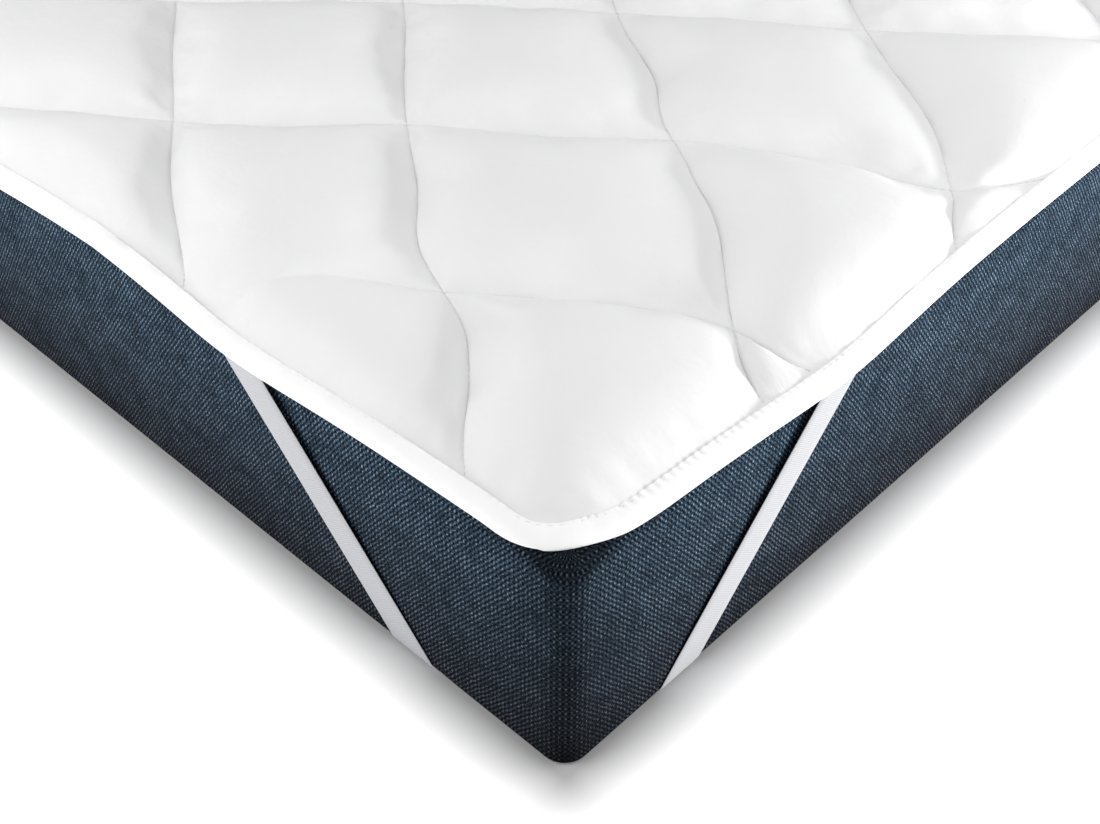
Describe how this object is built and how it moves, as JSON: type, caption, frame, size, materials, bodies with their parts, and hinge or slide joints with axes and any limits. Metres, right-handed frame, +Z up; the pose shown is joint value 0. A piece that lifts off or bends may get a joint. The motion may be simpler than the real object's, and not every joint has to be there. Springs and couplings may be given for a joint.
{
  "type": "mattress topper on mattress",
  "caption": "Quilted diamond mattress topper with taped edge, held on a plain single mattress by diagonal elastic corner straps.",
  "frame": {"origin": "on the surface it lies on, under the middle of the mattress", "axes": "+X across the bed, +Y along the bed, +Z up"},
  "size_m": [0.919, 2.0188, 0.203],
  "materials": {
    "quilt_cotton": "smooth white cotton, quilted, soft sheen",
    "tape_cotton": "smooth white woven edge tape",
    "strap_elastic": "light grey-white ribbed elastic",
    "mattress_denim": "coarse dark blue twill, matt"
  },
  "bodies": {
    "root": {"quilted_pad": "quilt_cotton", "edge_tape": "tape_cotton", "strap_front_right": "strap_elastic", "strap_front_left": "strap_elastic", "strap_back_right": "strap_elastic", "strap_back_left": "strap_elastic", "mattress": "mattress_denim"}
  },
  "joints": []
}
